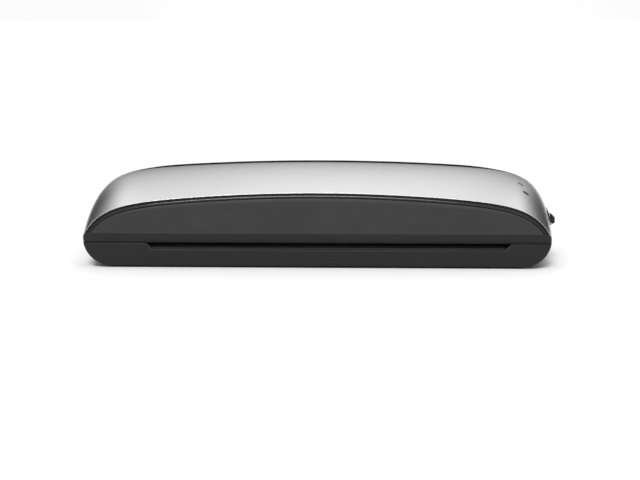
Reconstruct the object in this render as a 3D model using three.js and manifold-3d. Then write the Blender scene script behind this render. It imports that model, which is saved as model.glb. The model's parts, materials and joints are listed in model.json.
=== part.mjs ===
// Pouch laminator, millimetres, +X along the casing, +Y to the rear, +Z up, floor at z = 0.
import * as THREE from 'three';
import { mergeVertices } from 'three/addons/utils/BufferGeometryUtils.js';
import Module from 'manifold-3d';

const wasm = await Module();
wasm.setup();
const { Manifold, Mesh } = wasm;

// ---- casing form -------------------------------------------------------------------------
const WIDEST_Z = 30;            // height of the widest line of the casing
const UNDERSIDE_Z = 2;
const CORNER_R = 28;            // lower corners seen from the front
const CREST_Y = 10.5;
const NOSE_Y = -72.5;           // foremost line of the front
const NOSE_Z = 34;
const FRONT_LEAN = 0.17;
const REAR_Y = 71.9;
const REAR_LEAN = 0.16;
const LIP_R = 12;               // curve that turns under the nose
const LIP_DROP = 9.3;
const FRONT_ARCH = { top: 74.75, sag: 15.9, n: 12.5, m: 1.364, w: 230.8 };
const CREST_ARCH = { top: 96.3, sag: 11.64, n: 11.93, m: 2.244, w: 235.64 };
const REAR_ARCH = { top: 81, sag: 12, n: 12, m: 2.0, w: 231.5 };
const EASE_Z = 1.92;
const EASE_X = 2.797;
const SEAM_Z = 25;              // base to upper casings
const GAP = 0.3;
const WALL = 1.8;
const BASE_WALL = 2.5;

// ---- pouch path --------------------------------------------------------------------------
const PATH_Z = 22.7;
const PATH_X = 12;
const FRAME_X = [-169, 193];    // mid planes of the side frames
const FRAME_T = 2;
const SLOT = { x0: -162, x1: 186, flare: 6, z0: 18.8 };

// ---- rollers and gears -------------------------------------------------------------------
const ROLLER_Y = -22;
const ROLLER_R = 8;
const NIP = 0.6;
const LOWER_Z = PATH_Z - ROLLER_R - NIP / 2;
const UPPER_Z = PATH_Z + ROLLER_R + NIP / 2;
const SHAFT_R = 3;
const RUN = 0.08;               // running clearance on radius
const SLEEVE = [-153, 177];
const GEAR_X = [-182, -176.5];
const MODULE_MM = 1.0;
const TEETH = { roller: 16, idler: 26, pinion: 12 };
const IDLER_ANGLE = 14.5;
const PINION_ANGLE = 60;
const RELEASE = { y: -8, z: 30.7, r: 5.0, rise: 4.4, clear: 0.5, turn: 25 };
const LEVER = { x: [199, 203], reach: 80, rest: 24 };

// ---- controls ----------------------------------------------------------------------------
const KNOB_Y = -24.5;
const KNOB_LEN = 11;
const KNOB_TRAVEL = 16;         // rearward from the rest place

const MATERIALS = {
  black_plastic: [0x2b2b2b, 0.55, 0],
  fascia_plastic: [0x3d3d3e, 0.6, 0],
  silver_shell: [0xc4c5c6, 0.34, 0.85],
  gloss_black: [0x161616, 0.3, 0],
  green_lens: [0x1fae7a, 0.25, 0],
  smoke_lens: [0x2a1514, 0.25, 0],
  rubber: [0x1c1c1c, 0.9, 0],
  silicone: [0xb5482c, 0.8, 0],
  steel: [0xa9abad, 0.35, 1],
  galvanised: [0x9fa3a6, 0.45, 0.9],
  aluminium: [0xc9cbcc, 0.4, 0.9],
  mica: [0x8d7b62, 0.7, 0],
  board: [0x1f5a35, 0.55, 0],
  white_plastic: [0xd9d7cf, 0.55, 0],
  brass: [0xb08d4a, 0.4, 0.9],
};

const group = new THREE.Group();
group.name = 'pouch_laminator';

// ---- solid helpers -----------------------------------------------------------------------
function solid(geometry) {
  const g = geometry.index ? geometry.toNonIndexed() : geometry;
  g.deleteAttribute('normal');
  g.deleteAttribute('uv');
  const m = mergeVertices(g, 1e-4);
  return new Manifold(new Mesh({
    numProp: 3,
    vertProperties: new Float32Array(m.attributes.position.array),
    triVerts: new Uint32Array(m.index.array),
  }));
}

function box(x0, x1, y0, y1, z0, z1) {
  const g = new THREE.BoxGeometry(x1 - x0, y1 - y0, z1 - z0);
  g.translate((x0 + x1) / 2, (y0 + y1) / 2, (z0 + z1) / 2);
  return solid(g);
}

// Cylinder along X, Y or Z between a and b; c1 and c2 are its centre in the other two axes.
function rod(axis, r, a, b, c1, c2, n = 24) {
  const g = new THREE.CylinderGeometry(r, r, b - a, n);
  const mid = (a + b) / 2;
  if (axis === 'x') {
    g.rotateZ(-Math.PI / 2);
    g.translate(mid, c1, c2);
  } else if (axis === 'y') {
    g.translate(c1, mid, c2);
  } else {
    g.rotateX(Math.PI / 2);
    g.translate(c1, c2, mid);
  }
  return solid(g);
}

// Polygon of [y, z] points extruded along X from x0 to x1.
function prismX(points, x0, x1) {
  const shape = new THREE.Shape(points.map(([y, z]) => new THREE.Vector2(y, z)));
  const g = new THREE.ExtrudeGeometry(shape, { depth: x1 - x0, bevelEnabled: false });
  g.applyMatrix4(new THREE.Matrix4().makeBasis(
    new THREE.Vector3(0, 1, 0), new THREE.Vector3(0, 0, 1), new THREE.Vector3(1, 0, 0)));
  g.translate(x0, 0, 0);
  return solid(g);
}

// Polygon of [x, z] points extruded along Y from y0 to y1.
function prismY(points, y0, y1) {
  const shape = new THREE.Shape(points.map(([x, z]) => new THREE.Vector2(x, z)));
  const g = new THREE.ExtrudeGeometry(shape, { depth: y1 - y0, bevelEnabled: false });
  g.rotateX(Math.PI / 2);
  g.translate(0, y1, 0);
  return solid(g);
}

function union(list) {
  return list.reduce((sum, part) => sum.add(part));
}

function minus(body, list) {
  return list.reduce((rest, cut) => rest.subtract(cut), body);
}

// The biggest connected piece of a body, without the specks that a cut can leave.
function mainPiece(body) {
  return body.decompose().sort((a, b) => b.volume() - a.volume())[0];
}

function add(name, body, material) {
  const mesh = mainPiece(body).getMesh();
  const g = new THREE.BufferGeometry();
  g.setAttribute('position', new THREE.BufferAttribute(new Float32Array(mesh.vertProperties), 3));
  g.setIndex(new THREE.BufferAttribute(new Uint32Array(mesh.triVerts), 1));
  g.computeVertexNormals();
  const [color, roughness, metalness] = MATERIALS[material];
  const look = new THREE.MeshStandardMaterial({ color, roughness, metalness, name: material });
  const node = new THREE.Mesh(g, look);
  node.name = name;
  group.add(node);
}

// ---- the casing's outer form -------------------------------------------------------------
function archZ(arch, t, off) {
  const fall = Math.pow(Math.max(1 - Math.pow(Math.abs(t), arch.n), 0), 1 / arch.m);
  return WIDEST_Z + (arch.top - off - WIDEST_Z - arch.sag * t * t) * fall;
}

function endPlaneY(isFront, z, off) {
  return isFront ? NOSE_Y + off + FRONT_LEAN * (z - NOSE_Z) : REAR_Y - off - REAR_LEAN * (z - NOSE_Z);
}

// Point on the upper skin: t runs -1 to 1 across, s runs 0 at the end plane to 1 at the crest.
function skin(isFront, t, s, off) {
  const end = isFront ? FRONT_ARCH : REAR_ARCH;
  const gx = 1 - Math.pow(1 - Math.max(s, 0), EASE_X);
  const gz = 1 - Math.pow(1 - Math.max(s, 0), EASE_Z);
  const zEnd = archZ(end, t, off);
  const z = zEnd + (archZ(CREST_ARCH, t, off) - zEnd) * gz;
  const x = t * (end.w - off + (CREST_ARCH.w - end.w) * gx);
  const yEnd = endPlaneY(isFront, zEnd, off);
  return new THREE.Vector3(x, yEnd + (CREST_Y - yEnd) * s, z);
}

// Point on a lower corner: side is 1 or -1, a runs 0 at the widest line to 90 degrees below.
function corner(isFront, side, a, s, off) {
  const end = isFront ? FRONT_ARCH : REAR_ARCH;
  const gx = 1 - Math.pow(1 - Math.max(s, 0), EASE_X);
  const half = end.w + (CREST_ARCH.w - end.w) * gx;
  const x = side * (half - CORNER_R + (CORNER_R - off) * Math.cos(a));
  const z = WIDEST_Z - (CORNER_R - off) * Math.sin(a);
  const yEnd = endPlaneY(isFront, z, off);
  return new THREE.Vector3(x, yEnd + (CREST_Y - yEnd) * s, z);
}

const ARCH_STEPS = 38;
const CORNER_STEPS = 5;
const STATIONS = [-0.15, 0, 0.09, 0.24, 0.46, 0.72, 1];

function loft(off) {
  const count = ARCH_STEPS + 1 + 2 * CORNER_STEPS;
  const ring = [];
  for (let i = 0; i < count; i++) {
    const a = (2 * Math.PI * i) / count;
    ring.push(new THREE.Vector2(Math.cos(a), Math.sin(a)));
  }
  const spans = 2 * (STATIONS.length - 1);
  const g = new THREE.ExtrudeGeometry(new THREE.Shape(ring), {
    depth: 1, steps: spans, bevelEnabled: false,
  });
  const pos = g.attributes.position;
  for (let v = 0; v < pos.count; v++) {
    const turn = Math.atan2(pos.getY(v), pos.getX(v)) / (2 * Math.PI);
    const i = Math.round((turn + 1) * count) % count;
    const k = Math.round(pos.getZ(v) * spans);
    const isFront = k < STATIONS.length;
    const s = STATIONS[isFront ? k : spans - k];
    let p;
    if (i <= ARCH_STEPS) {
      p = skin(isFront, Math.cos((Math.PI * i) / ARCH_STEPS), s, off);
    } else {
      const j = i - ARCH_STEPS;
      const left = j <= CORNER_STEPS;
      const step = left ? j : 2 * CORNER_STEPS + 1 - j;
      p = corner(isFront, left ? -1 : 1, (step * Math.PI) / 2 / CORNER_STEPS, s, off);
    }
    pos.setXYZ(v, p.x, p.y, p.z);
  }
  const body = solid(g);
  return body.volume() < 0 ? solid(flip(g)) : body;
}

function flip(geometry) {
  const pos = geometry.attributes.position;
  for (let v = 0; v < pos.count; v += 3) {
    const a = new THREE.Vector3().fromBufferAttribute(pos, v);
    const b = new THREE.Vector3().fromBufferAttribute(pos, v + 1);
    pos.setXYZ(v, b.x, b.y, b.z);
    pos.setXYZ(v + 1, a.x, a.y, a.z);
  }
  return geometry;
}

// Side profile of the casing set in by off, as [y, z] points.
function frontCurve(off) {
  const points = [];
  for (let i = 0; i <= 6; i++) {
    const d = LIP_DROP * (1 - i / 6);
    points.push([NOSE_Y + off + LIP_R - Math.sqrt(LIP_R * LIP_R - d * d), NOSE_Z - d]);
  }
  return points;
}

function profile(front, rear) {
  const curve = frontCurve(front);
  return prismX([
    [curve[0][0], -10], ...curve,
    [endPlaneY(true, 130, front), 130],
    [endPlaneY(false, 130, rear), 130],
    [endPlaneY(false, NOSE_Z, rear), NOSE_Z],
    [endPlaneY(false, NOSE_Z, rear), -10],
  ], -300, 300);
}

function envelope(off) {
  return loft(off).intersect(profile(off, off));
}

// The part of the casing form between two depths behind its front face.
function frontSlab(off, near, far) {
  return loft(off).intersect(profile(near, 0)).subtract(profile(far, 0));
}

const ABOVE = (z) => box(-300, 300, -200, 200, z, 200);
const BELOW = (z) => box(-300, 300, -200, 200, -50, z);
const BEHIND = (y) => box(-300, 300, y, 300, -50, 200);
const BEFORE = (y) => box(-300, 300, -300, y, -50, 200);

const outer = envelope(0);
const inner = envelope(WALL);

// ---- base casing -------------------------------------------------------------------------
function slotCut(y0, y1, top) {
  return prismY([
    [SLOT.x0, SLOT.z0], [SLOT.x1, SLOT.z0],
    [SLOT.x1 + SLOT.flare, SEAM_Z], [SLOT.x1 + SLOT.flare, top],
    [SLOT.x0 - SLOT.flare, top], [SLOT.x0 - SLOT.flare, SEAM_Z],
  ], y0, y1);
}

const ventCuts = [];
for (let i = 0; i < 9; i++) {
  const x = -60 + i * 18;
  ventCuts.push(box(x, x + 9, 6, 9, -1, 8));
  ventCuts.push(box(x, x + 9, 22, 25, -1, 8));
}
const CORD = { x: -196, z: 15, r: 5 };
add('base_casing', minus(outer.subtract(envelope(BASE_WALL)).intersect(BELOW(SEAM_Z - GAP / 2)), [
  slotCut(-90, -60, 40),
  slotCut(60, 90, 40),
  rod('y', CORD.r + GAP, 60, 80, CORD.x, CORD.z),
  ...ventCuts,
]), 'black_plastic');

// ---- front frame, panel and hood ---------------------------------------------------------
const HOOD_EDGE = WALL + GAP;
const LIP_BACK = 3.2;
const LIP_TOP = 33.3;
add('front_frame', union([
  frontSlab(0, 0, LIP_BACK).intersect(ABOVE(SEAM_Z + GAP / 2)).intersect(BELOW(LIP_TOP)),
  frontSlab(HOOD_EDGE, 0, LIP_BACK).intersect(ABOVE(LIP_TOP - 0.5)).intersect(BELOW(35)),
  frontSlab(HOOD_EDGE, 1.6, LIP_BACK).intersect(ABOVE(LIP_TOP - 0.5)),
  frontSlab(3.0, 0.5, LIP_BACK).subtract(loft(4.9)).intersect(ABOVE(LIP_TOP - 0.5)),
]), 'black_plastic');
add('front_panel', frontSlab(5.4, 0, 1.3).intersect(ABOVE(35 + GAP)), 'fascia_plastic');

const LENSES = [
  { name: 'ready', t: 0.8723, s: 0.589, dt: 0.0105, ds: -0.0241, look: 'green_lens' },
  { name: 'power', t: 0.8898, s: 0.3892, dt: 0.0104, ds: -0.0172, look: 'smoke_lens' },
];
const LENS_SIZE = [6.4, 3];

// A bar standing through the skin at a lens, its long side along the slit.
function lensBar(lens, grow, out, depth) {
  const p = skin(true, lens.t, lens.s, 0);
  const along = skin(true, lens.t + lens.dt, lens.s + lens.ds, 0).sub(p).normalize();
  const other = skin(true, lens.t, lens.s + 0.01, 0).sub(p).normalize();
  const normal = new THREE.Vector3().crossVectors(along, other).normalize();
  const across = new THREE.Vector3().crossVectors(normal, along);
  const g = new THREE.BoxGeometry(LENS_SIZE[0] + 2 * grow, LENS_SIZE[1] + 2 * grow, depth + out);
  g.translate(0, 0, (out - depth) / 2);
  g.applyMatrix4(new THREE.Matrix4().makeBasis(along, across, normal).setPosition(p));
  return solid(g);
}

const KNOB_SLOT = box(225, 245, KNOB_Y - 3, KNOB_Y + KNOB_TRAVEL + 3, 41.2, 45.8);
const HOOD_REAR_Y = CREST_Y + 1.5;
const lipRoom = frontSlab(-1, -2, LIP_BACK + GAP).intersect(BELOW(LIP_TOP + GAP));
add('top_shell', minus(
  outer.subtract(loft(WALL)).intersect(ABOVE(SEAM_Z + GAP / 2)).intersect(BEFORE(HOOD_REAR_Y)),
  [lipRoom, KNOB_SLOT, ...LENSES.map((lens) => lensBar(lens, GAP, 3, 6))],
), 'silver_shell');
for (const lens of LENSES) {
  add(`${lens.name}_lens`, lensBar(lens, 0, 0.05, 5), lens.look);
}

// ---- rear casing -------------------------------------------------------------------------
const REAR_PROUD = 1.3;         // of the hood, over the top
const REAR_FACE_PROUD = 0.6;
const leverSweep = prismX([
  [RELEASE.y, RELEASE.z],
  ...[16, 24, 32, 40, 48, 56].map((deg) => [
    RELEASE.y + 110 * Math.cos((deg * Math.PI) / 180),
    RELEASE.z + 110 * Math.sin((deg * Math.PI) / 180),
  ]),
], 193.5, 208.5).intersect(BEHIND(20));
const rearVents = [];
for (let i = 0; i < 12; i++) {
  const x = -104 + i * 17;
  rearVents.push(box(x, x + 9, 55, 90, 50, 53));
  rearVents.push(box(x, x + 9, 55, 90, 58, 61));
}
add('rear_casing', minus(
  loft(-REAR_PROUD).intersect(profile(0, -REAR_FACE_PROUD)).subtract(inner).intersect(ABOVE(SEAM_Z + GAP / 2))
    .intersect(BEHIND(HOOD_REAR_Y + GAP)),
  [slotCut(60, 90, 31), leverSweep, ...rearVents],
), 'black_plastic');

// ---- mode switch -------------------------------------------------------------------------
add('mode_escutcheon', minus(
  loft(-1.2).subtract(loft(-GAP)).intersect(box(222, 245, -34, 1, 37.5, 51.5)),
  [KNOB_SLOT],
), 'gloss_black');
add('mode_knob', union([
  prismY([[236.85, 38.3], [239.3, 40.3], [239.1, 45.4], [235.1, 49.2]],
    KNOB_Y - KNOB_LEN / 2, KNOB_Y + KNOB_LEN / 2),
  box(217.6, 238.5, KNOB_Y - 2.5, KNOB_Y + 2.5, 41.8, 45.2),
]), 'gloss_black');
const BOARD_X = 206;
add('control_board', box(BOARD_X, BOARD_X + 1.6, -50, 0, 29, 55), 'board');
add('slide_switch', box(BOARD_X + 1.9, 217.2, -32, -1, 39, 48), 'galvanised');
add('ready_led', rod('z', 2.2, 55.3, 63, 204.5, -24, 16), 'green_lens');
add('power_led', rod('z', 2.2, 55.3, 61, 206.5, -38.5, 16), 'smoke_lens');

// ---- side frames and tie bars ------------------------------------------------------------
const FRAME_OUTLINE = [[-46, 4.8], [50, 4.8], [50, 38], [20, 44], [-6, 50], [-36, 50], [-46, 42]];
const BAR_SEATS = [{ name: 'tie_bar_front', y: -40, z: 36 }, { name: 'tie_bar_rear', y: 44, z: 34 }];
const BLOCK_HALF = 6;
for (const [i, x] of FRAME_X.entries()) {
  const side = i === 0 ? 'left' : 'right';
  const out = i === 0 ? -1 : 1;
  const span = (a, b) => [Math.min(x + out * a, x + out * b), Math.max(x + out * a, x + out * b)];
  add(`side_frame_${side}`, minus(prismX(FRAME_OUTLINE, x - FRAME_T / 2, x + FRAME_T / 2), [
    box(x - 5, x + 5, ROLLER_Y - BLOCK_HALF - GAP, ROLLER_Y + BLOCK_HALF + GAP, 24.2, 60),
    rod('x', 5 + GAP, x - 5, x + 5, ROLLER_Y, LOWER_Z),
    rod('x', SHAFT_R + RUN, x - 5, x + 5, RELEASE.y, RELEASE.z),
  ]), 'galvanised');
  const [f0, f1] = span(-2.5, -1.3);
  const [b0, b1] = span(-2.5, 2.5);
  add(`lower_bush_${side}`, minus(union([
    rod('x', 5, b0, b1, ROLLER_Y, LOWER_Z),
    rod('x', 7, f0, f1, ROLLER_Y, LOWER_Z),
  ]), [rod('x', SHAFT_R + RUN, x - 9, x + 9, ROLLER_Y, LOWER_Z)]), 'brass');
  const [k0, k1] = span(-6.5, 2.2);
  const [e0, e1] = span(-6.5, -1.5);
  add(`upper_block_${side}`, minus(union([
    box(k0, k1, ROLLER_Y - BLOCK_HALF, ROLLER_Y + BLOCK_HALF, 24.6, 39.6),
    box(e0, e1, ROLLER_Y + BLOCK_HALF - 0.5, 1, RELEASE.z + RELEASE.r + RELEASE.clear, 39.6),
  ]), [rod('x', SHAFT_R + RUN, x - 9, x + 9, ROLLER_Y, UPPER_Z)]), 'white_plastic');
  add(`spring_bridge_${side}`, box(x - 4.5, x + 4.5, -36, -8, 50.3, 52.3), 'galvanised');
  add(`pressure_spring_${side}`, spring(x, ROLLER_Y, 40, 50, 3.5, 0.5, 5), 'steel');
}
for (const bar of BAR_SEATS) {
  add(bar.name, rod('x', 3, FRAME_X[0] + 1.3, FRAME_X[1] - 1.3, bar.y, bar.z, 16), 'steel');
}

function spring(x, y, z0, z1, r, wire, turns) {
  const path = [];
  const steps = turns * 10;
  for (let i = 0; i <= steps; i++) {
    const a = (2 * Math.PI * i) / 10;
    const z = z0 + wire + ((z1 - z0 - 2 * wire) * i) / steps;
    path.push(new THREE.Vector3(x + r * Math.cos(a), y + r * Math.sin(a), z));
  }
  const ring = new THREE.Shape();
  ring.absarc(0, 0, wire, 0, 2 * Math.PI, false);
  return solid(new THREE.ExtrudeGeometry(ring, {
    steps, curveSegments: 3, bevelEnabled: false, extrudePath: new THREE.CatmullRomCurve3(path),
  }));
}

// ---- gears -------------------------------------------------------------------------------
function pitchR(teeth) {
  return (teeth * MODULE_MM) / 2;
}

// Angle in degrees at which gear B has a tooth, when gear A has one at toothA and B lies at dir.
function meshPhase(toothA, teethA, teethB, dir) {
  const arcA = ((toothA - dir) * Math.PI * pitchR(teethA)) / 180;
  const half = (Math.PI * MODULE_MM) / 2;
  return dir + 180 - (((arcA + half) / pitchR(teethB)) * 180) / Math.PI;
}

function gear(teeth, phase, y, z, bore) {
  const r = pitchR(teeth);
  const pitchAngle = 360 / teeth;
  const points = [];
  const flank = [[-0.29, r - 1.15], [-0.21, r], [-0.11, r + 0.85], [0.11, r + 0.85], [0.21, r], [0.29, r - 1.15]];
  for (let i = 0; i < teeth; i++) {
    for (const [share, radius] of flank) {
      const a = ((phase + (i + share) * pitchAngle) * Math.PI) / 180;
      points.push([y + radius * Math.cos(a), z + radius * Math.sin(a)]);
    }
  }
  return prismX(points, GEAR_X[0], GEAR_X[1]).subtract(rod('x', bore, -200, -150, y, z));
}

function offset(from, teethA, teethB, dir) {
  const d = pitchR(teethA) + pitchR(teethB) + 0.25;
  const a = (dir * Math.PI) / 180;
  return { y: from.y + d * Math.cos(a), z: from.z + d * Math.sin(a) };
}

const lowerAt = { y: ROLLER_Y, z: LOWER_Z };
const idlerAt = offset(lowerAt, TEETH.roller, TEETH.idler, IDLER_ANGLE);
const pinionAt = offset(idlerAt, TEETH.idler, TEETH.pinion, PINION_ANGLE);
const idlerPhase = meshPhase(90, TEETH.roller, TEETH.idler, IDLER_ANGLE);
const pinionPhase = meshPhase(idlerPhase, TEETH.idler, TEETH.pinion, PINION_ANGLE);

for (const [name, z, phase] of [
  ['lower', LOWER_Z, 90],
  ['upper', UPPER_Z, meshPhase(90, TEETH.roller, TEETH.roller, 90)],
]) {
  add(`${name}_roller_shaft`, rod('x', SHAFT_R, -183, 197.5, ROLLER_Y, z), 'steel');
  add(`${name}_roller_sleeve`, rod('x', ROLLER_R, SLEEVE[0], SLEEVE[1], ROLLER_Y, z, 36)
    .subtract(rod('x', SHAFT_R + GAP, -200, 220, ROLLER_Y, z)), 'silicone');
  add(`${name}_roller_gear`, gear(TEETH.roller, phase, ROLLER_Y, z, SHAFT_R + GAP), 'white_plastic');
}
add('idler_gear', gear(TEETH.idler, idlerPhase, idlerAt.y, idlerAt.z, 2.5 + RUN), 'white_plastic');
add('motor_pinion', gear(TEETH.pinion, pinionPhase, pinionAt.y, pinionAt.z, 1)
  .add(rod('x', 2.5, -186, -176.5, pinionAt.y, pinionAt.z)), 'brass');
const POSTS = [[30, 12], [32, 36], [-6, 44.5]];
const PLATE_OUTLINE = [[-14, 5.2], [38, 5.2], [38, 42], [20, 62], [-12, 62]];
add('gear_plate', minus(union([
  prismX(PLATE_OUTLINE, -186, -184.5),
  rod('x', 2.5, -185, -174.5, idlerAt.y, idlerAt.z),
  ...POSTS.map(([y, z]) => rod('x', 3, -185, FRAME_X[0] - FRAME_T / 2 - GAP, y, z, 16)),
]), [rod('x', 4, -200, -183, pinionAt.y, pinionAt.z)]), 'galvanised');
add('gear_motor', union([
  rod('x', 24, -206, -190, 14, 47, 36),
  rod('x', 19, -190.5, -186.6, 14, 47, 36),
]), 'galvanised');

// ---- pressure release --------------------------------------------------------------------
function camOutline() {
  const points = [];
  for (let deg = 90; deg <= 360; deg += 22.5) {
    const a = (deg * Math.PI) / 180;
    points.push([RELEASE.y + RELEASE.r * Math.cos(a), RELEASE.z + RELEASE.r * Math.sin(a)]);
  }
  for (let deg = 55; deg <= 90; deg += 5) {
    const a = (deg * Math.PI) / 180;
    const h = RELEASE.r + RELEASE.rise * (Math.PI / 2 - a);
    points.push([
      RELEASE.y + h * Math.cos(a) + RELEASE.rise * Math.sin(a),
      RELEASE.z + h * Math.sin(a) - RELEASE.rise * Math.cos(a),
    ]);
  }
  return points;
}

add('release_shaft', union([
  rod('x', SHAFT_R, FRAME_X[0] - 2, 206, RELEASE.y, RELEASE.z),
  prismX(camOutline(), FRAME_X[0] + 2, FRAME_X[0] + 6),
  prismX(camOutline(), FRAME_X[1] - 6, FRAME_X[1] - 2),
]), 'steel');

const leverDir = [Math.cos((LEVER.rest * Math.PI) / 180), Math.sin((LEVER.rest * Math.PI) / 180)];
function alongLever(points) {
  return points.map(([a, b]) => [
    RELEASE.y + a * leverDir[0] - b * leverDir[1],
    RELEASE.z + a * leverDir[1] + b * leverDir[0],
  ]);
}
add('release_lever', minus(union([
  rod('x', 7, LEVER.x[0], LEVER.x[1], RELEASE.y, RELEASE.z),
  prismX(alongLever([[4, -4], [LEVER.reach - 2, -2], [LEVER.reach - 2, 2], [4, 4]]), ...LEVER.x),
  prismX(alongLever([[LEVER.reach - 14, -2.2], [LEVER.reach - 1, -2.6], [LEVER.reach, 0],
    [LEVER.reach - 1, 2.6], [LEVER.reach - 14, 2.2]]), 195.5, 206.5),
]), [rod('x', SHAFT_R + GAP, 190, 210, RELEASE.y, RELEASE.z)]), 'gloss_black');

// ---- heaters and guides ------------------------------------------------------------------
const SPAN = [FRAME_X[0] + 1.4, FRAME_X[1] - 1.4];
add('lower_heater_plate', prismX(
  [[2, 17.2], [36, 17.2], [38.5, 19], [38, 20.6], [36.5, 21.7], [3, 21.7], [2, 20.7]], ...SPAN), 'aluminium');
add('upper_heater_plate', prismX(
  [[2, 24.7], [3, 23.7], [36.5, 23.7], [38, 24.8], [38.5, 26.4], [36, 28.2], [2, 28.2]], ...SPAN), 'aluminium');
add('lower_heating_element', box(PATH_X - 160, PATH_X + 160, 8, 32, 15.6, 16.9), 'mica');
add('upper_heating_element', box(PATH_X - 160, PATH_X + 160, 8, 32, 28.5, 29.8), 'mica');
add('thermostat', union([
  rod('z', 8, 30.1, 34, 60, 20, 20),
  rod('z', 5.5, 33.5, 39, 60, 20, 20),
]), 'white_plastic');
add('thermal_fuse', rod('x', 2, -20, -4, 20, 32.2, 16), 'aluminium');

add('lower_exit_guide', prismX(
  [[-65.2, 16.6], [-32.6, 16.6], [-32.6, 19], [-36, 21.2], [-57, 21.2], [-64.6, 18.9], [-65.2, 18.5]],
  ...SPAN), 'black_plastic');
add('upper_exit_guide', prismX(
  [[-64.2, 26.4], [-62.8, 25.7], [-34.6, 25.7], [-33.4, 26.4], [-33.4, 27.8], [-64.2, 27.8]], ...SPAN), 'black_plastic');
add('lower_entry_guide', prismX(
  [[40.2, 17], [69, 14.5], [69, 17.4], [62, 19.3], [41.4, 19.3], [40.2, 18.6]], ...SPAN), 'black_plastic');
add('upper_entry_guide', prismX(
  [[40.2, 25.2], [42, 24.7], [52, 24.7], [69.4, 31.6], [69.4, 33.6], [50, 27], [40.2, 27]], ...SPAN), 'black_plastic');

// ---- cord gland and feet -----------------------------------------------------------------
add('cord_gland', minus(union([
  rod('y', CORD.r, 64, 72.3, CORD.x, CORD.z),
  rod('y', CORD.r + 2, 66, 69, CORD.x, CORD.z),
]), [rod('y', 3, 50, 80, CORD.x, CORD.z)]), 'rubber');
for (const [name, x, y] of [
  ['foot_front_left', -180, -52], ['foot_front_right', 180, -52],
  ['foot_rear_left', -180, 54], ['foot_rear_right', 180, 54],
]) {
  add(name, rod('z', 8, 0, UNDERSIDE_Z - GAP, x, y), 'rubber');
}

export default group;
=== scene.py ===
"""Pouch laminator: fine surfaces, materials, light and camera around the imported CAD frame."""
import json
import math

import bmesh
import bpy
from mathutils import Matrix, Vector


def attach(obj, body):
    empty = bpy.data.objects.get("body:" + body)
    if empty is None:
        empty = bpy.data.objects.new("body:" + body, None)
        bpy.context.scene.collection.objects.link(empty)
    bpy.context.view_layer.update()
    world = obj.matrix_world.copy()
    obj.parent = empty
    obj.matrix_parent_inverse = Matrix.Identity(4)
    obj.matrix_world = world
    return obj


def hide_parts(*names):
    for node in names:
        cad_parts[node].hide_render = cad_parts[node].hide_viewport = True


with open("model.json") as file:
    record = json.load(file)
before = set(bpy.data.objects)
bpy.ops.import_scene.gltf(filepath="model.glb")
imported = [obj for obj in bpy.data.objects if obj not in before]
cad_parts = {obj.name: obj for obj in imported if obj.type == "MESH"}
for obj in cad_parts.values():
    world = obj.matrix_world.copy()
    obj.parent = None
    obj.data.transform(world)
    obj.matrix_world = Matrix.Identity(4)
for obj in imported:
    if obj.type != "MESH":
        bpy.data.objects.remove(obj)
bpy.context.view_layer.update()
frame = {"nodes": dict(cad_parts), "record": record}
MM = 0.001

# ---- casing form, millimetres: the CAD's, but for how far the rear casing stands proud -------
WIDEST_Z = 30.0
CORNER_R = 28.0
CREST_Y = 10.5
NOSE_Y = -72.5
NOSE_Z = 34.0
FRONT_LEAN = 0.17
REAR_Y = 71.9
REAR_LEAN = 0.16
LIP_R = 12.0
LIP_DROP = 9.3
# Arches: crown height, its sag towards the ends, exponents of the fall at the ends, half width.
FRONT_ARCH = dict(top=74.75, sag=15.9, n=12.5, m=1.364, w=230.8)
CREST_ARCH = dict(top=96.3, sag=11.64, n=11.93, m=2.244, w=235.64)
REAR_ARCH = dict(top=81.0, sag=12.0, n=12.0, m=2.0, w=231.5)
EASE_Z = 1.92
EASE_X = 2.797
SEAM_Z = 25.0
GAP = 0.3
HALF_GAP = GAP / 2
WALL = 1.8
BASE_WALL = 2.5
HOOD_REAR_Y = 12.0
REAR_PROUD = 1.15  # of the hood, over the top
REAR_FACE_PROUD = 0.6
SHOULDER_PROUD = 0.15
CREASE_Z = 35.0
SLOT_X = (-162.0, 186.0)
SLOT_FLARE = 6.0
SLOT_Z = 18.8

SLOT_CUT_TOP = 40.0
ENTRY_TOP = 31.0
FRONT_CUT_Y = (-90, -60)  # cutters through the front wall
REAR_CUT_Y = (60, 90)
VENT_HALF = (4.5, 1.5)
ON_AXIS = 0.001  # radius of a lathed form's poles


# ---- form functions --------------------------------------------------------------------------
def arch_z(arch, t, off):
    """Height of an arch at share t of its half width, off inside it."""
    fall = max(1 - abs(t) ** arch["n"], 0) ** (1 / arch["m"])
    return WIDEST_Z + (arch["top"] - off - WIDEST_Z - arch["sag"] * t * t) * fall


def plane_y(front, z, off=0.0):
    """The leaning front or rear face at a height, off inside it."""
    if front:
        return NOSE_Y + off + FRONT_LEAN * (z - NOSE_Z)
    return REAR_Y - off - REAR_LEAN * (z - NOSE_Z)


def curve_y(z):
    """Front face below and above the nose, where the lip turns under."""
    if z >= NOSE_Z:
        return plane_y(True, z)
    drop = min(NOSE_Z - z, LIP_DROP)
    return NOSE_Y + LIP_R - math.sqrt(LIP_R**2 - drop**2)


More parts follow.
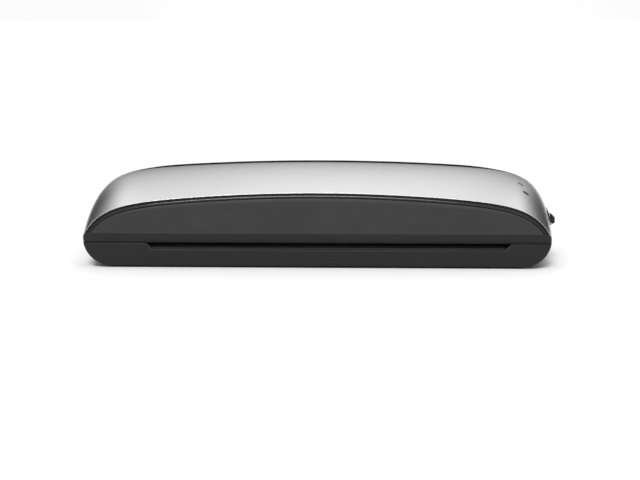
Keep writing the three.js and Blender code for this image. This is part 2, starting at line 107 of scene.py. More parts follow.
class Column:
    """One line of the casing running front to rear: a share t of the arch, or a lower corner angle."""

    def __init__(self, t=None, side=0, angle=0.0):
        self.t, self.side, self.angle = t, side, angle

    def end_z(self, front, off=0.0):
        if self.t is None:
            return WIDEST_Z - (CORNER_R - off) * math.sin(self.angle)
        return arch_z(FRONT_ARCH if front else REAR_ARCH, self.t, off)

    def at(self, y, off=0.0):
        front = y <= CREST_Y
        end = FRONT_ARCH if front else REAR_ARCH
        z_end = self.end_z(front, off)
        y_end = plane_y(front, z_end, off)
        left = 1 - max((y - y_end) / (CREST_Y - y_end), 0)
        gx = 1 - left**EASE_X
        half = end["w"] + (CREST_ARCH["w"] - end["w"]) * gx
        if self.t is None:
            x = self.side * (half - CORNER_R + (CORNER_R - off) * math.cos(self.angle))
            return Vector((x, y, z_end))
        z = z_end + (arch_z(CREST_ARCH, self.t, off) - z_end) * (1 - left**EASE_Z)
        return Vector((self.t * (half - off), y, z))


def arch_columns(count, limit=1.0):
    """Columns over the arch out to share limit at each side, crowded where it turns down."""
    full = math.acos(limit)
    return [Column(t=-math.cos(full + (math.pi - 2 * full) * i / count)) for i in range(count + 1)]


def corner_columns(side, angles):
    return [Column(side=side, angle=a) for a in angles]


def spread(a, b, count):
    """Even steps from a to b, both included."""
    return [a + (b - a) * i / count for i in range(count + 1)]


def solve(f, lo, hi, target):
    """Where a falling function of x passes the target."""
    for _ in range(40):
        mid = (lo + hi) / 2
        if f(mid) > target:
            lo = mid
        else:
            hi = mid
    return (lo + hi) / 2


def side_x(y, z, off):
    """Half width of the casing at a height on its flank."""
    t = solve(lambda v: Column(t=v).at(y, off).z, 0.5, 1.0, z)
    return Column(t=t).at(y, off).x


# ---- mesh helpers ----------------------------------------------------------------------------
def new_piece(name, verts, faces, smooth):
    """An object from points in millimetres, sharp only where faces meet at more than smooth degrees."""
    mesh = bpy.data.meshes.new(name)
    mesh.from_pydata([tuple(c * MM for c in v) for v in verts], [], faces)
    bm = bmesh.new()
    bm.from_mesh(mesh)
    bmesh.ops.remove_doubles(bm, verts=bm.verts, dist=1e-6)
    bmesh.ops.recalc_face_normals(bm, faces=bm.faces)
    bm.to_mesh(mesh)
    bm.free()
    obj = bpy.data.objects.new(name, mesh)
    bpy.context.collection.objects.link(obj)
    set_smooth(obj, smooth)
    return obj


def set_smooth(obj, degrees):
    obj.data.shade_smooth()
    obj.data.set_sharp_from_angle(angle=math.radians(degrees))


def sweep(name, loops, closed=True, caps=True, smooth=35):
    """Joins rows of points, one row per column, into a tube or a sheet."""
    n = len(loops[0])
    verts = [p for loop in loops for p in loop]
    faces = []
    for i in range(len(loops) - 1):
        for j in range(n if closed else n - 1):
            k = (j + 1) % n
            faces.append((i * n + j, i * n + k, (i + 1) * n + k, (i + 1) * n + j))
    if closed and caps:
        faces.append(tuple(range(n)))
        faces.append(tuple(range(len(verts) - 1, len(verts) - n - 1, -1)))
    return new_piece(name, verts, faces, smooth)


def bake(obj, smooth):
    """Replaces a piece's mesh by what its modifiers give."""
    graph = bpy.context.evaluated_depsgraph_get()
    mesh = bpy.data.meshes.new_from_object(obj.evaluated_get(graph))
    obj.modifiers.clear()
    obj.data = mesh
    set_smooth(obj, smooth)


def cut(obj, cutters, smooth=35):
    """Takes the cutters out of a piece, and then out of the scene."""
    for cutter in cutters:
        mod = obj.modifiers.new("cut", "BOOLEAN")
        mod.operation = "DIFFERENCE"
        mod.solver = "EXACT"
        mod.object = cutter
    bake(obj, smooth)
    for cutter in cutters:
        bpy.data.objects.remove(cutter, do_unlink=True)


def soften(obj, width, segments=2, angle=50):
    """Rounds the edges that are sharper than an angle in degrees."""
    mod = obj.modifiers.new("edge", "BEVEL")
    mod.width = width * MM
    mod.segments = segments
    mod.limit_method = "ANGLE"
    mod.angle_limit = math.radians(angle)
    mod.use_clamp_overlap = True
    shade = obj.modifiers.new("shade", "WEIGHTED_NORMAL")
    shade.keep_sharp = False


def prism(name, outline, a, b, axis):
    """A polygon drawn in the other two axes and drawn out along one axis from a to b."""
    order = {"x": lambda p, d: (d, p[0], p[1]), "y": lambda p, d: (p[0], d, p[1]),
             "z": lambda p, d: (p[0], p[1], d)}[axis]
    loops = [[order(p, d) for p in outline] for d in (a, b)]
    return sweep(name, loops)


def stadium(half_long, half_wide, steps=10, radius=None):
    """Rounded bar or rectangle about the origin, long side first."""
    r = half_wide if radius is None else radius
    points = []
    for sx, sy, start in ((1, 1, 0), (-1, 1, 90), (-1, -1, 180), (1, -1, 270)):
        for a in spread(start, start + 90, steps):
            c, s = math.cos(math.radians(a)), math.sin(math.radians(a))
            points.append((sx * (half_long - r) + r * c, sy * (half_wide - r) + r * s))
    return points


def vent(name, u, v, a, b, axis):
    """A rounded bar through a wall, centred on (u, v)."""
    return prism(name, [(u + p, v + q) for p, q in stadium(*VENT_HALF, 5)], a, b, axis)


def lathe(name, profile, axis_at, axis, count=48):
    """Spins (radius, height) points round an axis through axis_at."""
    loops = []
    for i in range(count):
        a = 2 * math.pi * i / count
        c, s = math.cos(a), math.sin(a)
        row = []
        for r, h in profile:
            local = {"x": (h, r * c, r * s), "y": (r * c, h, r * s), "z": (r * c, r * s, h)}[axis]
            row.append(tuple(p + q for p, q in zip(local, axis_at)))
        loops.append(row)
    return sweep(name, loops + [loops[0]], caps=False)


def barrel(bore, r, length, edge):
    """Profile of a cylinder or sleeve with chamfered ends."""
    return [(bore, 0), (r - edge, 0), (r, edge), (r, length - edge), (r - edge, length), (bore, length)]


replaced = set()


def place(obj, body, nodes, material):
    """Sets a finished piece on its body, in place of CAD nodes where it has any."""
    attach(obj, body)
    if nodes:
        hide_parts(*nodes)
        replaced.update(nodes)
    obj.data.materials.clear()
    obj.data.materials.append(material)


# ---- materials -------------------------------------------------------------------------------
class Look:
    """A small builder of procedural materials."""

    EDGE_PALING = (0.52, 0.62)  # pointiness where the paler edges (wear and painted highlight) begin and are full

    def __init__(self, name, color, roughness, metallic=0.0, **sockets):
        self.mat = bpy.data.materials.new(name)
        self.mat.use_nodes = True
        self.tree = self.mat.node_tree
        self.shader = self.tree.nodes["Principled BSDF"]
        self.color, self.roughness = color, roughness
        self.shader.inputs["Base Color"].default_value = (*color, 1)
        self.shader.inputs["Roughness"].default_value = roughness
        self.shader.inputs["Metallic"].default_value = metallic
        for key, value in sockets.items():
            self.shader.inputs[key.replace("_", " ")].default_value = value
        self.coords = self.node("ShaderNodeTexCoord").outputs["Object"]
        self.height = None

    def node(self, kind, **settings):
        node = self.tree.nodes.new(kind)
        for key, value in settings.items():
            setattr(node, key, value)
        return node

    def link(self, a, b):
        self.tree.links.new(a, b)

    def noise(self, scale, detail, stretch=(1, 1, 1), rough=0.55):
        mapping = self.node("ShaderNodeMapping")
        mapping.inputs["Scale"].default_value = stretch
        self.link(self.coords, mapping.inputs["Vector"])
        noise = self.node("ShaderNodeTexNoise")
        noise.inputs["Scale"].default_value = scale
        noise.inputs["Detail"].default_value = detail
        noise.inputs["Roughness"].default_value = rough
        self.link(mapping.outputs[0], noise.inputs["Vector"])
        return noise.outputs[0]

    def ramp(self, value, low, high, start=0.3, end=0.7):
        ramp = self.node("ShaderNodeMapRange")
        ramp.inputs["From Min"].default_value = start
        ramp.inputs["From Max"].default_value = end
        ramp.inputs["To Min"].default_value = low
        ramp.inputs["To Max"].default_value = high
        self.link(value, ramp.inputs["Value"])
        return ramp.outputs[0]

    @staticmethod
    def mixed(mix):
        return [o for o in mix.outputs if o.type == "RGBA"][0]

    def vary_roughness(self, value, amount):
        out = self.ramp(value, self.roughness - amount, self.roughness + amount)
        self.link(out, self.shader.inputs["Roughness"])

    def vary_color(self, value, amount):
        mix = self.node("ShaderNodeMix", data_type="RGBA")
        dark = [c * (1 - amount) for c in self.color]
        light = [c * (1 + amount) for c in self.color]
        self.link(self.ramp(value, 0, 1), mix.inputs["Factor"])
        sockets = [i for i in mix.inputs if i.type == "RGBA"][:2]
        for socket, shade in zip(sockets, (dark, light)):
            socket.default_value = (*shade, 1)
        self.link(self.mixed(mix), self.shader.inputs["Base Color"])

    def wear_and_highlight_edges(self, amount):
        """Paler, in patches, where the surface turns sharply outwards: part wear, part a painted
        highlight along the edges.
        """
        pointiness = self.node("ShaderNodeNewGeometry").outputs["Pointiness"]
        edge = self.ramp(pointiness, 0, amount, *self.EDGE_PALING)
        patchy = self.node("ShaderNodeMath", operation="MULTIPLY")
        self.link(edge, patchy.inputs[0])
        self.link(self.ramp(self.noise(60, 4), 0.2, 1.0), patchy.inputs[1])
        mix = self.node("ShaderNodeMix", data_type="RGBA")
        color_in, pale_in = [i for i in mix.inputs if i.type == "RGBA"][:2]
        self.link(self.shader.inputs["Base Color"].links[0].from_socket, color_in)
        pale_in.default_value = (*[min(c * 2.5 + 0.03, 1) for c in self.color], 1)
        self.link(patchy.outputs[0], mix.inputs["Factor"])
        self.link(self.mixed(mix), self.shader.inputs["Base Color"])

    def bump(self, value, depth_mm):
        bump = self.node("ShaderNodeBump")
        bump.inputs["Distance"].default_value = depth_mm * MM
        bump.inputs["Strength"].default_value = 1.0
        self.link(value, bump.inputs["Height"])
        if self.height is not None:
            self.link(self.height, bump.inputs["Normal"])
        self.height = bump.outputs[0]
        self.link(self.height, self.shader.inputs["Normal"])


def moulded(name, color, roughness, grain=900, depth=0.05, edge_wear_and_highlight=0.35, **sockets):
    """Moulded plastic or rubber: fine grain, slow drift of tone and gloss, edges paled by wear and a
    painted highlight, a faint wave.
    """
    look = Look(name, color, roughness, **sockets)
    look.vary_color(look.noise(14, 4), 0.07)
    look.wear_and_highlight_edges(edge_wear_and_highlight)
    look.vary_roughness(look.noise(38, 5), 0.06)
    look.bump(look.noise(grain, 2), depth)
    look.bump(look.noise(9, 2), 0.05)
    return look.mat


def brushed(name, color, roughness, stretch, line=0.012, scale=420, tone=0.05, sheen=0.05):
    """Metal with a grain: fine lines along one axis, in tone, sheen and height, and a faint wave."""
    look = Look(name, color, roughness, metallic=1.0)
    lines = look.noise(scale, 4, stretch, 0.6)
    look.vary_color(lines, tone)
    # Edges a little paler: some wear, and a painted highlight along them.
    look.wear_and_highlight_edges(0.08)
    look.vary_roughness(lines, sheen)
    look.bump(lines, line)
    look.bump(look.noise(7, 2), 0.06)
    return look.mat


MATS = {
    "silver_shell": brushed("silver_hood", (0.72, 0.72, 0.722), 0.27, (0.012, 1, 1),
                            0.0004, scale=1500, tone=0.012, sheen=0.02),
    "black_plastic": moulded("black_moulding", (0.0105, 0.0105, 0.0107), 0.5, Specular_IOR_Level=0.3),
    "fascia_plastic": moulded("fascia_moulding", (0.0225, 0.0225, 0.023), 0.5, 700, 0.03,
                              edge_wear_and_highlight=0.05, Specular_IOR_Level=0.4),
    "gloss_black": moulded("gloss_moulding", (0.012, 0.012, 0.0122), 0.15, 500, 0.006),
    "rubber": moulded("foot_rubber", (0.02, 0.02, 0.02), 0.85, 1200, 0.06),
    "silicone": moulded("roller_silicone", (0.42, 0.075, 0.035), 0.7, 1500, 0.03),
    "steel": brushed("ground_steel", (0.55, 0.55, 0.56), 0.28, (1, 0.05, 0.05)),
    "galvanised": brushed("zinc_plate", (0.46, 0.47, 0.48), 0.42, (0.3, 0.3, 0.3)),
    "aluminium": brushed("heater_aluminium", (0.74, 0.75, 0.76), 0.35, (0.05, 1, 1)),
    "brass": brushed("turned_brass", (0.62, 0.42, 0.14), 0.3, (1, 0.1, 0.1)),
    "mica": moulded("mica_sheet", (0.28, 0.21, 0.13), 0.45, 300, 0.04),
    "board": moulded("solder_mask", (0.012, 0.10, 0.035), 0.35, 600, 0.02),
    "white_plastic": moulded("acetal", (0.68, 0.66, 0.60), 0.45, 800, 0.02),
    "green_lens": moulded("green_lens", (0.004, 0.17, 0.10), 0.35, 300, 0.004,
                          Emission_Color=(0.0, 0.42, 0.26, 1), Emission_Strength=0.7),
    # Paler than the black casings: painted light that brightens the shaded slot floor under the lip.
    "guide": moulded("guide_painted_light", (0.085, 0.085, 0.088), 0.42, edge_wear_and_highlight=0.05),
    "smoke_lens": moulded("smoke_lens", (0.014, 0.004, 0.004), 0.4, 300, 0.004),
}


# ---- hood ------------------------------------------------------------------------------------
LIP_BACK = 3.2
HOOD_FOOT_Z = 33.6
EDGE_R = 0.07
HOOD_EDGE = 0.35  # thickness of the hood at its front edge
HOOD_STATIONS = 36
HOOD_CROWDING = 1.35  # draws the stations towards the front edge
STEP_WIDTH = 2e-5  # of the arch, either side of where the front edge steps back
KNOB_HOLE_X = (215, 250)
BAND_INSET = HOOD_EDGE + HALF_GAP
foot_angle = math.asin((WIDEST_Z - (SEAM_Z + HALF_GAP)) / CORNER_R)
step_t = solve(lambda v: arch_z(FRONT_ARCH, v, 0), 0.9, 1.0, HOOD_FOOT_Z)


def hood_columns(count):
    """Arch and corner columns, with a close pair where the front edge steps back behind the lip."""
    arch = arch_columns(count)
    extra = [Column(t=side * (step_t + d)) for side in (-1, 1) for d in (-STEP_WIDTH, STEP_WIDTH)]
    arch = sorted(arch + extra, key=lambda c: c.t)
    angles = spread(0, foot_angle, 5)[1:]
    return corner_columns(-1, angles[::-1]) + arch + corner_columns(1, angles)


def hood_front(column):
    """Where the hood's front edge lies: on the front plane, or behind the lip below the hood's foot."""
    z = column.end_z(True)
    if z >= HOOD_FOOT_Z:
        return plane_y(True, z)
    return curve_y(z) + LIP_BACK + GAP


def hood_loop(column):
    """Forward over the outside, round the front edge, back along the inside, round the rear edge."""
    y0, y1 = hood_front(column), HOOD_REAR_Y
    eased = [y0 + EDGE_R + (y1 - y0 - 2 * EDGE_R) * share**HOOD_CROWDING
             for share in spread(0, 1, HOOD_STATIONS)]
    loop = [column.at(y) for y in reversed(eased)]
    for a in spread(0, math.pi / 2, 4)[1:]:
        loop.append(column.at(y0 + EDGE_R * (1 - math.sin(a)), EDGE_R * (1 - math.cos(a))))
    step_y = y0 + LIP_BACK + GAP
    loop += [column.at(y0, EDGE_R + 0.05), column.at(y0, HOOD_EDGE), column.at(step_y, HOOD_EDGE)]
    loop += [column.at(y, WALL) for y in spread(step_y, y1, 12)[:-1]]
    loop += [column.at(y1, WALL), column.at(y1, WALL * 0.5)]
    for a in spread(math.pi / 2, 0, 3)[:-1]:
        loop.append(column.at(y1 - EDGE_R * (1 - math.sin(a)), EDGE_R * (1 - math.cos(a))))
    return loop


# Windows, by place on the hood (t, s) and direction of the long side (dt, ds).
LENSES = (
    dict(name="ready", t=0.8723, s=0.589, dt=0.0105, ds=-0.0241, slot="green_lens"),
    dict(name="power", t=0.8898, s=0.3892, dt=0.0104, ds=-0.0172, slot="smoke_lens"),
)
LENS_HALF = (3.2, 1.5)
LENS_CLEARANCE = 0.25
KNOB_Y = -24.5
KNOB_LEN = 11.0
KNOB_TRAVEL = 16.0
KNOB_Z = 43.5
SWITCH_Y = KNOB_Y + KNOB_TRAVEL / 2
KNOB_SLOT_HALF = (KNOB_TRAVEL / 2 + 3.0, 2.3)


def skin(t, s):
    """Point on the hood: share t of the arch, share s of the way from its front edge to the crest."""
    column = Column(t=t)
    y_end = plane_y(True, column.end_z(True))
    return column.at(y_end + (CREST_Y - y_end) * s)


def lens_frame(lens):
    """Centre of a window, and its long, short and outward directions."""
    p = skin(lens["t"], lens["s"])
    along = (skin(lens["t"] + lens["dt"], lens["s"] + lens["ds"]) - p).normalized()
    other = (skin(lens["t"], lens["s"] + 0.01) - p).normalized()
    normal = along.cross(other).normalized()
    if normal.z < 0:
        normal.negate()
    return p, along, normal.cross(along), normal


def lens_bar(name, lens, grow, levels, caps=True):
    """A rounded bar standing through the hood; levels are (height, inset) pairs."""
    p, along, across, normal = lens_frame(lens)
    loops = []
    for height, inset in levels:
        outline = stadium(LENS_HALF[0] + grow - inset, LENS_HALF[1] + grow - inset, 6)
        loops.append([p + along * a + across * b + normal * height for a, b in outline])
    return sweep(name, loops, caps=caps)


hood = sweep("hood", [hood_loop(c) for c in hood_columns(200)], smooth=30)
knob_slot = [(SWITCH_Y + a, KNOB_Z + b) for a, b in stadium(*KNOB_SLOT_HALF)]
knob_hole = prism("knob_hole", knob_slot, *KNOB_HOLE_X, "x")
lens_holes = [lens_bar("lens_hole", lens, LENS_CLEARANCE, [(-6, 0), (3, 0)]) for lens in LENSES]
cut(hood, [knob_hole] + lens_holes, 30)
place(hood, "chassis", ["top_shell"], MATS["silver_shell"])
RIM_LEVELS = [(-2.4, 0), (0.08, 0), (0.2, 0.1), (0.2, 0.22), (0.05, 0.32), (-2.4, 0.32), (-2.4, 0)]
WINDOW_LEVELS = [(-2.6, 0), (-0.25, 0), (-0.08, 0.1), (-0.02, 0.35)]
for lens in LENSES:
    rim = lens_bar(lens["name"] + "_rim", lens, 0.12, RIM_LEVELS, caps=False)
    place(rim, "chassis", None, MATS["black_plastic"])
    bar = lens_bar(lens["name"] + "_window", lens, -0.22, WINDOW_LEVELS)
    place(bar, "chassis", [lens["name"] + "_lens"], MATS[lens["slot"]])


# ---- rear casing -----------------------------------------------------------------------------
REAR_EDGE_R = 5.0
REAR_FRONT_Y = HOOD_REAR_Y + GAP
REAR_FRONT_R = 0.25
FADE_FROM = 0.62  # share of the arch where the step over the hood begins to fade
FADE_OVER = 0.24
REAR_VENT_X = spread(-99.5, 87.5, 11)
REAR_VENT_Z = (51.5, 59.5)


def rear_proud(column):
    """How far the rear casing stands above the hood: most over the middle, nearly flush at the ends."""
    if column.t is None:
        return SHOULDER_PROUD
    u = min(max((abs(column.t) - FADE_FROM) / FADE_OVER, 0), 1)
    return REAR_PROUD + (SHOULDER_PROUD - REAR_PROUD) * u * u * (3 - 2 * u)


def rear_row(column):
    """Over the top from the seam to the rear rim, round it, and down the rear face."""
    proud = rear_proud(column)
    z_end = column.end_z(False, -proud)
    y_end = plane_y(False, max(z_end, NOSE_Z), -REAR_FACE_PROUD)
    r = min(REAR_EDGE_R, 0.45 * (z_end - SEAM_Z))
    row = [column.at(REAR_FRONT_Y + REAR_FRONT_R * (1 - math.sin(a)),
                     -proud + REAR_FRONT_R * (1 - math.cos(a))) for a in spread(math.pi / 2, 0, 3)]
    row += [column.at(y, -proud) for y in spread(REAR_FRONT_Y + 0.6, y_end - r, 30)]
    for a in spread(0, math.pi / 2, 8)[1:]:
        row.append(column.at(y_end - r + r * math.sin(a), -proud + r * (1 - math.cos(a))))
    rim = row[-1]
    low = SEAM_Z + HALF_GAP
    for share in spread(0, 1, 10)[1:]:
        z = rim.z + (low - rim.z) * share
        lean = plane_y(False, max(z, NOSE_Z)) - plane_y(False, max(rim.z, NOSE_Z))
        row.append(Vector((rim.x, rim.y + lean, z)))
    return row


corner_angles = spread(0, foot_angle, 4)[1:]
rear_columns = corner_columns(-1, corner_angles[::-1]) + arch_columns(160)
rear_columns += corner_columns(1, corner_angles)
rear = sweep("rear_casing_skin", [rear_row(c) for c in rear_columns], closed=False, smooth=40)
thick = rear.modifiers.new("wall", "SOLIDIFY")
thick.thickness = WALL * MM
thick.offset = -1
bake(rear, 40)


def slot_outline(top):
    """The pouch slot: a flat floor with ends that flare up to the seam, open above it."""
    left, right = SLOT_X[0] - SLOT_FLARE, SLOT_X[1] + SLOT_FLARE
    return [(SLOT_X[0], SLOT_Z), (SLOT_X[1], SLOT_Z), (right, SEAM_Z),
            (right, top), (left, top), (left, SEAM_Z)]


# Slot for the release lever: a sector about the lever's axis, with its sweep in degrees.
RELEASE = dict(y=-8.0, z=30.7, inner=30, outer=110, sweep=(16, 56), x=(193.5, 208.5))


def about_release(radius, degrees):
    a = math.radians(degrees)
    return RELEASE["y"] + radius * math.cos(a), RELEASE["z"] + radius * math.sin(a)


lever_fan = [about_release(RELEASE["inner"], d) for d in reversed(RELEASE["sweep"])]
lever_fan += [about_release(RELEASE["outer"], d) for d in spread(*RELEASE["sweep"], 10)]
vents = [vent("vent", x, z, 55, 90, "y") for x in REAR_VENT_X for z in REAR_VENT_Z]
entry = prism("entry", slot_outline(ENTRY_TOP), *REAR_CUT_Y, "y")
sweep_hole = prism("sweep_hole", lever_fan, *RELEASE["x"], "x")
cut(rear, [entry, sweep_hole] + vents)
soften(rear, 0.35)
place(rear, "chassis", ["rear_casing"], MATS["black_plastic"])


# ---- front frame -----------------------------------------------------------------------------
LIP_END_R = 2.4
LIP_STEP_Z = HOOD_FOOT_Z - GAP  # where the lip narrows to fit inside the hood
LIP_Z = (SEAM_Z + 0.03, CREASE_Z)
LIP_CHAMFER = 0.08


def lip_half(z):
    """Half width of the lip at a height: the casing's own width, less the hood's wall above its foot."""
    if z <= WIDEST_Z:
        return FRONT_ARCH["w"] - CORNER_R + math.sqrt(CORNER_R**2 - (WIDEST_Z - z) ** 2)
    inset = 0.0 if z < LIP_STEP_Z else BAND_INSET
    t = solve(lambda v: arch_z(FRONT_ARCH, v, inset), 0.5, 1.0, z)
    return t * (FRONT_ARCH["w"] - inset)


def lip_loop(z):
    """Closed outline of the lip seen from above, its two front corners rounded."""
    half, front = lip_half(z), curve_y(z)
    back = front + LIP_BACK
    front += max(LIP_Z[0] + LIP_CHAMFER - z, 0)
    loop = []
    for side in (1, -1):
        corner = []
        for a in spread(0, math.pi / 2, 6):
            corner.append(Vector((side * (half - LIP_END_R * (1 - math.cos(a))),
                                  front + LIP_END_R * (1 - math.sin(a)), z)))
        tail = [Vector((side * half, back, z))]
        loop += tail + corner if side == 1 else corner[::-1] + tail
    return loop


lip_levels = [LIP_Z[0]] + spread(LIP_Z[0] + LIP_CHAMFER, NOSE_Z - 1.4, 14)
lip_levels += [LIP_STEP_Z - 1e-3, LIP_STEP_Z] + spread(HOOD_FOOT_Z, LIP_Z[1], 4)
lip_levels = sorted(set(round(z, 4) for z in lip_levels))
lip = sweep("front_lip", [lip_loop(z) for z in lip_levels], smooth=40)
soften(lip, 0.12)

BEAD = dict(inset=3.55, depth=0.95, r=1.2)
BAND_FLOOR = (1.5, 1.8)  # outside and inside the bead
BAND_END = 9.0
# Section of the arched band, as (inset from the casing's outline, depth behind the front plane).
band_section = [(BAND_INSET, LIP_BACK), (BAND_INSET, BAND_FLOOR[0])]
band_section += [(BEAD["inset"] - BEAD["r"], BAND_FLOOR[0])]
band_section += [(BEAD["inset"] - BEAD["r"] * math.cos(a), BEAD["depth"] - BEAD["r"] * math.sin(a))
                 for a in spread(0, math.pi, 12)]
band_section += [(BEAD["inset"] + BEAD["r"], BAND_FLOOR[1]), (BAND_END, BAND_FLOOR[1])]
band_section += [(BAND_END, LIP_BACK)]


def band_loop(t):
    """The band's section at share t of the arch, kept behind the nose."""
    loop = []
    for inset, depth in band_section:
        z = arch_z(FRONT_ARCH, t, inset)
        loop.append(Vector((t * (FRONT_ARCH["w"] - inset), max(plane_y(True, z) + depth, NOSE_Y), z)))
    return loop


band_limit = solve(lambda v: arch_z(FRONT_ARCH, v, BAND_INSET), 0.9, 1.0, LIP_Z[1] - 1.0)
band = sweep("front_band", [band_loop(c.t) for c in arch_columns(200, band_limit)], smooth=40)
WALL_INSET = 8.0
WALL_DEPTH = 1.9
WALL_FOOT_Z = LIP_Z[1] - 0.6
backing = [(c.t * (FRONT_ARCH["w"] - WALL_INSET), arch_z(FRONT_ARCH, c.t, WALL_INSET))
           for c in arch_columns(80)]
backing = [(x, z) for x, z in backing if z > WALL_FOOT_Z + 0.1]
backing_rows = []
for depth in (WALL_DEPTH, LIP_BACK):
    outline = backing + [(backing[-1][0], WALL_FOOT_Z), (backing[0][0], WALL_FOOT_Z)]
    backing_rows.append([Vector((x, plane_y(True, z) + depth, z)) for x, z in outline])
wall = sweep("front_wall", backing_rows)

# ---- front panel -----------------------------------------------------------------------------
PANEL_INSET = 5.4
PANEL_EDGE = 0.45
PANEL_GAP = 0.06
PANEL_THICK = 1.35
panel_columns = [c for c in arch_columns(260)
                 if arch_z(FRONT_ARCH, c.t, PANEL_INSET) > CREASE_Z + PANEL_GAP + 0.4]


def panel_loop(column):
    """From the back of the top edge, over a small chamfer, down the face to the crease."""
    top = arch_z(FRONT_ARCH, column.t, PANEL_INSET)
    x = column.t * (FRONT_ARCH["w"] - PANEL_INSET)
    low = CREASE_Z + PANEL_GAP
    e = min(PANEL_EDGE, (top - low) * 0.3)
    rows = [(top, PANEL_THICK), (top, e), (top - 0.3 * e, 0.3 * e), (top - e, 0.0)]
    rows += [(top - e + (low - top + e) * k, 0.0) for k in spread(0, 1, 8)[1:]]
    rows += [(low, PANEL_THICK)]
    return [Vector((x, plane_y(True, z) + d, z)) for z, d in rows]


panel = sweep("front_fascia", [panel_loop(c) for c in panel_columns], smooth=25)
place(panel, "chassis", ["front_panel"], MATS["fascia_plastic"])
place(lip, "chassis", ["front_frame"], MATS["black_plastic"])
place(wall, "chassis", None, MATS["black_plastic"])
place(band, "chassis", None, MATS["gloss_black"])


# ---- base casing -----------------------------------------------------------------------------
def base_ring(y, off, top):
    """Cross section of the tray's form: its two round lower corners, cut off at a height."""
    angles = spread(math.asin(max(WIDEST_Z - top, 0) / (CORNER_R - off)), math.pi / 2, 20)
    right = [Column(side=1, angle=a).at(y, off) for a in angles]
    left = [Column(side=-1, angle=a).at(y, off) for a in reversed(angles)]
    return right + left


def base_body(name, off, top, y0, y1, edge, top_edge=0.0):
    """The tray's solid form; its front and rear ends are rounded, on top by their own radius."""
    def ring(y, a):
        rise = top - top_edge * (1 - math.sin(a))
        return base_ring(y, off + edge * (1 - math.sin(a)), rise)

    quarter = spread(0, math.pi / 2, 5)
    loops = [ring(y0 + edge * (1 - math.cos(a)), a) for a in quarter]
    loops += [ring(y, math.pi / 2) for y in spread(y0 + edge, y1 - edge, 26)[1:-1]]
    loops += [ring(y1 - edge * (1 - math.cos(a)), a) for a in reversed(quarter)]
    return sweep(name, loops)


BASE_TOP = SEAM_Z - 0.1
BASE_PROUD = 1.3  # ahead of the lip's lower edge
BASE_FRONT = curve_y(0) - BASE_PROUD
base = base_body("base_tray", 0.0, BASE_TOP, BASE_FRONT, REAR_Y, 1.2, 1.1)
hollow = base_body("hollow", BASE_WALL, BASE_TOP + 4.8, BASE_FRONT + BASE_PROUD + BASE_WALL,
                   REAR_Y - BASE_WALL, 0.4)
GLAND = dict(x=-196.0, z=15.0, neck_r=5.0)
BASE_VENT_X = spread(-55.5, 88.5, 8)
BASE_VENT_Y = (7.5, 23.5)
MOUTH_R = 1.5
exit_cut = prism("exit_cut", slot_outline(SLOT_CUT_TOP), *FRONT_CUT_Y, "y")
entry_cut = prism("entry_cut", slot_outline(SLOT_CUT_TOP), *REAR_CUT_Y, "y")
hole_r = GLAND["neck_r"] + GAP
cord_cut = lathe("cord_cut", [(ON_AXIS, 0), (hole_r, 0), (hole_r, 20), (ON_AXIS, 20)],
                 (GLAND["x"], REAR_CUT_Y[0], GLAND["z"]), "y", 32)
base_vents = [vent("base_vent", x, y, -1, 8, "z") for x in BASE_VENT_X for y in BASE_VENT_Y]


def mouth_row(y, grow):
    """The exit slot's outline at y behind the base's front face, widened at its ends and its floor."""
    return [Vector((x + math.copysign(grow, x), BASE_FRONT + y, z - grow if z <= SEAM_Z else z))
            for x, z in slot_outline(SLOT_CUT_TOP)]


mouth_rows = [mouth_row(-0.5, MOUTH_R)]
mouth_rows += [mouth_row(MOUTH_R * (1 - math.cos(a)), MOUTH_R * (1 - math.sin(a)))
               for a in spread(0, math.pi / 2, 5)]
mouth_cut = sweep("mouth_cut", mouth_rows)
cut(base, [hollow, exit_cut, mouth_cut, entry_cut, cord_cut] + base_vents)
soften(base, 0.35)
place(base, "chassis", ["base_casing"], MATS["black_plastic"])


# ---- mode switch -----------------------------------------------------------------------------
PLATE = dict(y=SWITCH_Y, z=44.5, half=(17.5, 7.0), r=3.5)
# Offsets of the plate's rows from the hood's surface, negative outwards.
PLATE_FOOT = -0.3
PLATE_BRIM = -1.0
PLATE_FACE = -1.2
PLATE_MOUTH = -1.05
slot_ring = stadium(*KNOB_SLOT_HALF, 8)
plate_ring = stadium(*PLATE["half"], 8, PLATE["r"])


def plate_row(share, off):
    """A ring a share of the way from the plate's outline to its slot."""
    row = []
    for (a, b), (c, d) in zip(plate_ring, slot_ring):
        y = PLATE["y"] + a * (1 - share) + c * share
        z = PLATE["z"] + b * (1 - share) + (KNOB_Z - PLATE["z"] + d) * share
        row.append(Vector((side_x(y, z, off), y, z)))
    return row


rows = [plate_row(0, PLATE_FOOT), plate_row(0, PLATE_BRIM)]
rows += [plate_row(share, PLATE_FACE) for share in spread(0.02, 0.98, 6)]
rows += [plate_row(1, PLATE_MOUTH), plate_row(1, PLATE_FOOT)]
plate = sweep("switch_plate", rows + [rows[0]], caps=False)
place(plate, "chassis", ["mode_escutcheon"], MATS["gloss_black"])

